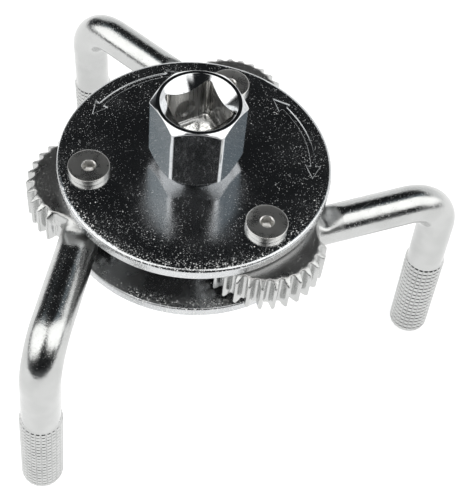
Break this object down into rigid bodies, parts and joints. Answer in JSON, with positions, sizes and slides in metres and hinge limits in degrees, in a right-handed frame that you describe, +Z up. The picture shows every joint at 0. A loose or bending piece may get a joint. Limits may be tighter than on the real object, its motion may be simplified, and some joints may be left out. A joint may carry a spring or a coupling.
{
  "type": "three-jaw oil filter wrench",
  "caption": "Two-way oil filter wrench: toothed, knurl-tipped jaws swing between two round plates when a central hex with a square drive turns, gripping a filter can.",
  "frame": {"origin": "on the drive axis, in the plane of the three leg tips the tool stands on", "axes": "+Z up along the drive axis, out of the square socket; the jaw pivots stand at 60, 180 and 300 degrees from +X about +Z, so one pivot lies on -X"},
  "size_m": [0.1237, 0.1245, 0.0864],
  "materials": {
    "plate_plating": "bright plated sheet steel, near mirror with a fine grain",
    "chrome_drive": "polished chrome plate",
    "jaw_plating": "bright plated forged steel, slightly grained, sandy along the top of the arm",
    "screw_head_plating": "dark bright-turned screw steel",
    "nut_zinc": "zinc plated",
    "gear_steel": "machined steel, lightly greased",
    "washer_steel": "plain turned steel",
    "sleeve_steel": "ground steel",
    "spring_steel": "phosphated spring steel"
  },
  "bodies": {
    "frame": {"top_plate": "plate_plating", "bottom_plate": "plate_plating", "drive_washer": "washer_steel", "left_pivot_screw": "screw_head_plating", "left_pivot_nut": "nut_zinc", "left_pivot_sleeve": "sleeve_steel", "left_jaw_spacer": "washer_steel", "front_pivot_screw": "screw_head_plating", "front_pivot_nut": "nut_zinc", "front_pivot_sleeve": "sleeve_steel", "front_jaw_spacer": "washer_steel", "back_pivot_screw": "screw_head_plating", "back_pivot_nut": "nut_zinc", "back_pivot_sleeve": "sleeve_steel", "back_jaw_spacer": "washer_steel"},
    "drive": {"drive_hex": "chrome_drive", "sun_gear": "gear_steel", "retaining_ring": "spring_steel"},
    "left_jaw_body": {"left_jaw": "jaw_plating"},
    "front_jaw_body": {"front_jaw": "jaw_plating"},
    "back_jaw_body": {"back_jaw": "jaw_plating"}
  },
  "joints": [
    {"name": "drive_turn", "type": "hinge", "parent": "frame", "child": "drive", "pos_m": [0, 0, 0.06], "axis": [0, 0, 1], "range_deg": [-64, 240]},
    {"name": "left_jaw_pivot", "type": "hinge", "parent": "frame", "child": "left_jaw_body", "pos_m": [-0.027, 0, 0.0572], "axis": [0, 0, 1], "range_deg": [-192, 51.2]},
    {"name": "front_jaw_pivot", "type": "hinge", "parent": "frame", "child": "front_jaw_body", "pos_m": [0.0135, -0.02338, 0.0572], "axis": [0, 0, 1], "range_deg": [-192, 51.2]},
    {"name": "back_jaw_pivot", "type": "hinge", "parent": "frame", "child": "back_jaw_body", "pos_m": [0.0135, 0.02338, 0.0572], "axis": [0, 0, 1], "range_deg": [-192, 51.2]}
  ],
  "couplings": [
    {"joint": "left_jaw_pivot", "follows": "drive_turn", "ratio": -0.8},
    {"joint": "front_jaw_pivot", "follows": "drive_turn", "ratio": -0.8},
    {"joint": "back_jaw_pivot", "follows": "drive_turn", "ratio": -0.8}
  ]
}
